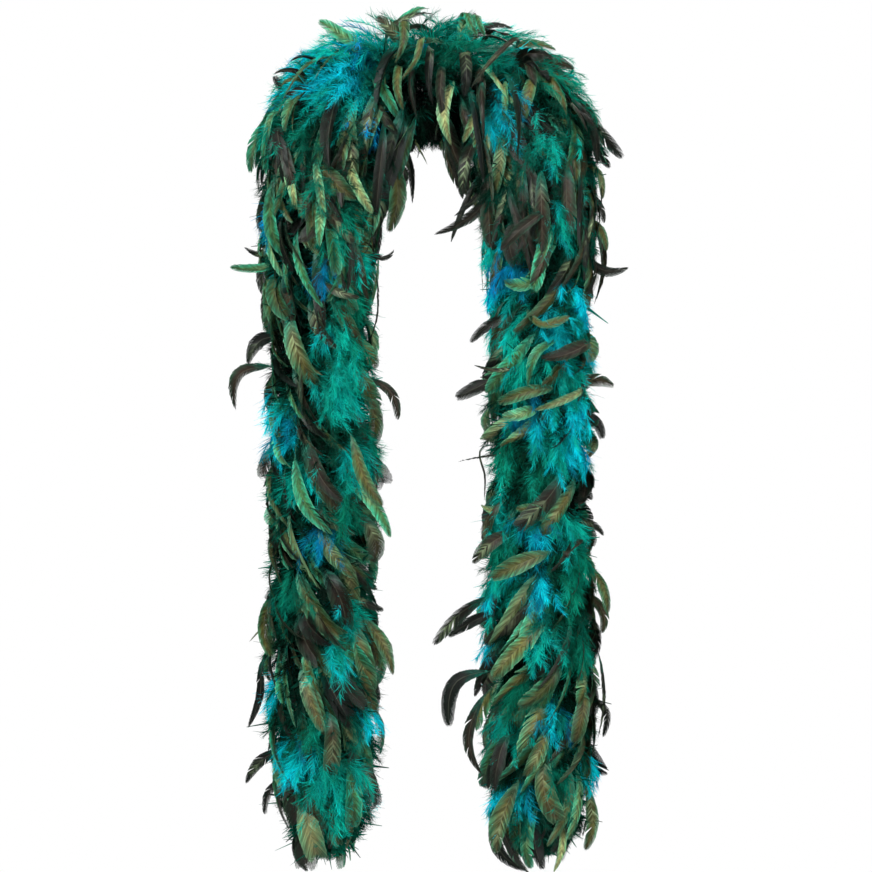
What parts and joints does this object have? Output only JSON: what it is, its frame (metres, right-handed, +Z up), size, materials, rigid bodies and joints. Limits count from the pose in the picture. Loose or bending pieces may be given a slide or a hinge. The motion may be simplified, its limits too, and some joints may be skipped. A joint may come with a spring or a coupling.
{
  "type": "feather boa",
  "caption": "Long soft scarf of dyed feathers on a cord, worn over the neck: whorls of turquoise down under long curved olive-black blades.",
  "frame": {"origin": "the point where the arch's soft inside rests on the wearer's nape", "axes": "+Z up, +X towards the right-hand leg seen from the front, the wearer's front faces -Y"},
  "size_m": [0.4032, 0.2347, 0.9175],
  "materials": {
    "core_cord": "braided matt cord",
    "string_tape": "woven tape with the quills sewn in",
    "thread": "spun sewing thread",
    "down": "soft dyed down, turquoise to teal",
    "blade": "dyed feather blades, iridescent olive green to black"
  },
  "bodies": {
    "crown": {"core_crown": "core_cord", "tape_crown": "string_tape", "stitches_crown": "thread", "down_crown": "down", "plumes_crown": "blade"},
    "left_1": {"core_left_1": "core_cord", "tape_left_1": "string_tape", "stitches_left_1": "thread", "down_left_1": "down", "plumes_left_1": "blade"},
    "left_2": {"core_left_2": "core_cord", "tape_left_2": "string_tape", "stitches_left_2": "thread", "down_left_2": "down", "plumes_left_2": "blade"},
    "left_3": {"core_left_3": "core_cord", "tape_left_3": "string_tape", "stitches_left_3": "thread", "down_left_3": "down", "plumes_left_3": "blade"},
    "left_4": {"core_left_4": "core_cord", "tape_left_4": "string_tape", "stitches_left_4": "thread", "down_left_4": "down", "plumes_left_4": "blade"},
    "left_5": {"core_left_5": "core_cord", "tape_left_5": "string_tape", "stitches_left_5": "thread", "down_left_5": "down", "plumes_left_5": "blade", "whipping_left": "thread", "knot_left": "core_cord"},
    "right_1": {"core_right_1": "core_cord", "tape_right_1": "string_tape", "stitches_right_1": "thread", "down_right_1": "down", "plumes_right_1": "blade"},
    "right_2": {"core_right_2": "core_cord", "tape_right_2": "string_tape", "stitches_right_2": "thread", "down_right_2": "down", "plumes_right_2": "blade"},
    "right_3": {"core_right_3": "core_cord", "tape_right_3": "string_tape", "stitches_right_3": "thread", "down_right_3": "down", "plumes_right_3": "blade"},
    "right_4": {"core_right_4": "core_cord", "tape_right_4": "string_tape", "stitches_right_4": "thread", "down_right_4": "down", "plumes_right_4": "blade"},
    "right_5": {"core_right_5": "core_cord", "tape_right_5": "string_tape", "stitches_right_5": "thread", "down_right_5": "down", "plumes_right_5": "blade", "whipping_right": "thread", "knot_right": "core_cord"}
  },
  "joints": [
    {"name": "left_swing_1", "type": "hinge", "parent": "crown", "child": "left_1", "pos_m": [-0.118, -0.03806, -0.09003], "axis": [-1, 0, 0], "range_deg": [-30, 30]},
    {"name": "left_sway_2", "type": "hinge", "parent": "left_1", "child": "left_2", "pos_m": [-0.118, -0.03806, -0.22003], "axis": [0, -1, 0], "range_deg": [-25, 6]},
    {"name": "left_swing_3", "type": "hinge", "parent": "left_2", "child": "left_3", "pos_m": [-0.118, -0.03806, -0.35003], "axis": [-1, 0, 0], "range_deg": [-30, 30]},
    {"name": "left_sway_4", "type": "hinge", "parent": "left_3", "child": "left_4", "pos_m": [-0.118, -0.03806, -0.48003], "axis": [0, -1, 0], "range_deg": [-25, 12]},
    {"name": "left_swing_5", "type": "hinge", "parent": "left_4", "child": "left_5", "pos_m": [-0.118, -0.03806, -0.61003], "axis": [-1, 0, 0], "range_deg": [-30, 30]},
    {"name": "right_swing_1", "type": "hinge", "parent": "crown", "child": "right_1", "pos_m": [0.118, -0.03806, -0.09003], "axis": [-1, 0, 0], "range_deg": [-30, 30]},
    {"name": "right_sway_2", "type": "hinge", "parent": "right_1", "child": "right_2", "pos_m": [0.118, -0.03806, -0.22003], "axis": [0, -1, 0], "range_deg": [-6, 25]},
    {"name": "right_swing_3", "type": "hinge", "parent": "right_2", "child": "right_3", "pos_m": [0.118, -0.03806, -0.35003], "axis": [-1, 0, 0], "range_deg": [-30, 30]},
    {"name": "right_sway_4", "type": "hinge", "parent": "right_3", "child": "right_4", "pos_m": [0.118, -0.03806, -0.48003], "axis": [0, -1, 0], "range_deg": [-12, 25]},
    {"name": "right_swing_5", "type": "hinge", "parent": "right_4", "child": "right_5", "pos_m": [0.118, -0.03806, -0.61003], "axis": [-1, 0, 0], "range_deg": [-30, 30]}
  ]
}
